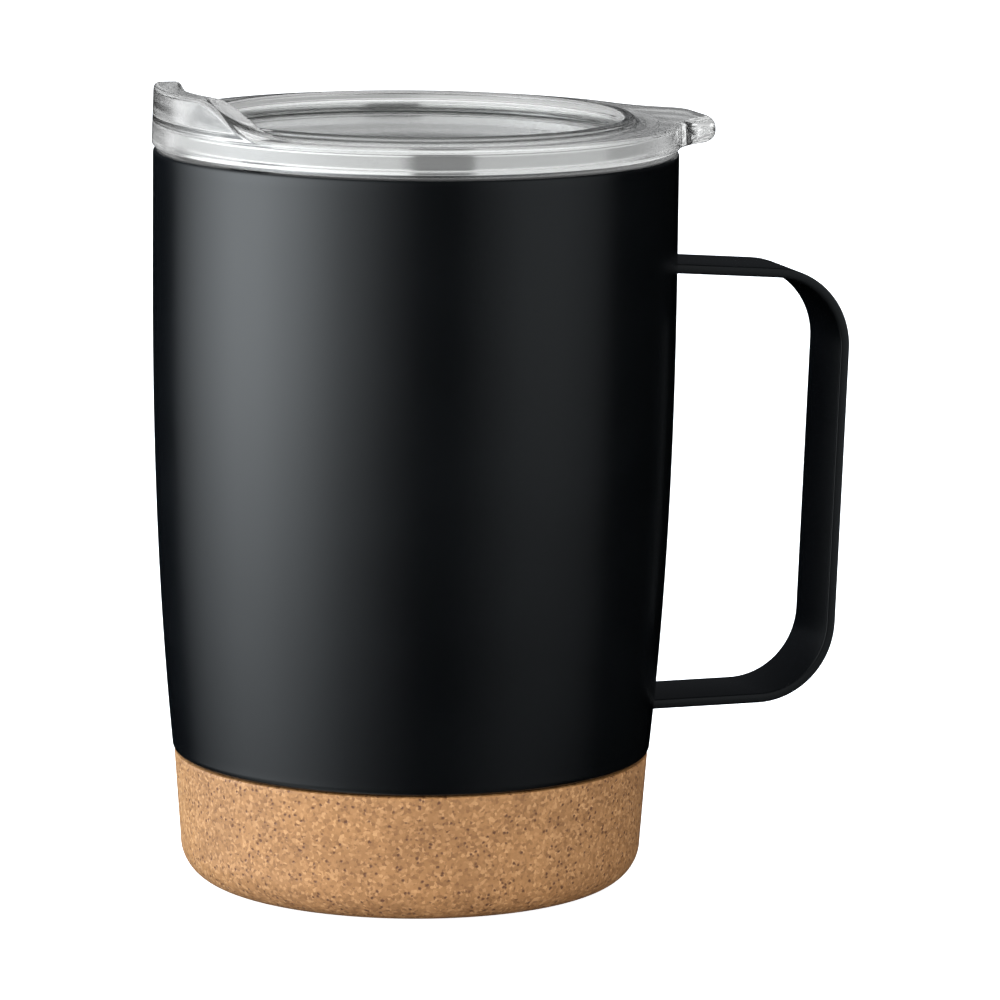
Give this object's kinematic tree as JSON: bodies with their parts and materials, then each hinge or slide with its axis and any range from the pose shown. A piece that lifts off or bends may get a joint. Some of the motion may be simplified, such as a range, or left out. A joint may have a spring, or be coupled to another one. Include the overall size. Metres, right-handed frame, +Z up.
{
  "type": "travel mug",
  "caption": "Rigid double-wall steel travel mug with a cork base, a bent flat-bar handle and a clear press-on lid with a drinking spout and a thumb tab.",
  "frame": {"origin": "centre of the cork's underside, on the table, on the mug's axis", "axes": "+Z up along the mug's axis, +X towards the handle, +Y to its left; the drinking spout faces -X at rest"},
  "size_m": [0.1086, 0.0804, 0.1226],
  "materials": {
    "black_coat": "satin black powder coat with a very fine even texture",
    "bare_steel": "satin, fine circular brushing",
    "adhesive": "matt film",
    "cork": "matt sanded cork agglomerate, small light and dark granules",
    "clear_plastic": "clear, polished",
    "silicone": "milky translucent, soft"
  },
  "bodies": {
    "cup": {"outer_shell": "black_coat", "inner_liner": "bare_steel", "outer_bottom": "bare_steel", "base_adhesive": "adhesive", "cork_base": "cork", "handle_strap": "black_coat"},
    "seal_ring": {"lid_seal": "silicone"},
    "lid": {"lid_body": "clear_plastic"}
  },
  "joints": [
    {"name": "lid_lift", "type": "slide", "parent": "cup", "child": "seal_ring", "axis": [0, 0, 1], "range_m": [0, 0.06]},
    {"name": "lid_turn", "type": "hinge", "parent": "seal_ring", "child": "lid", "pos_m": [0, 0, 0.113], "axis": [0, 0, 1], "continuous": true}
  ]
}
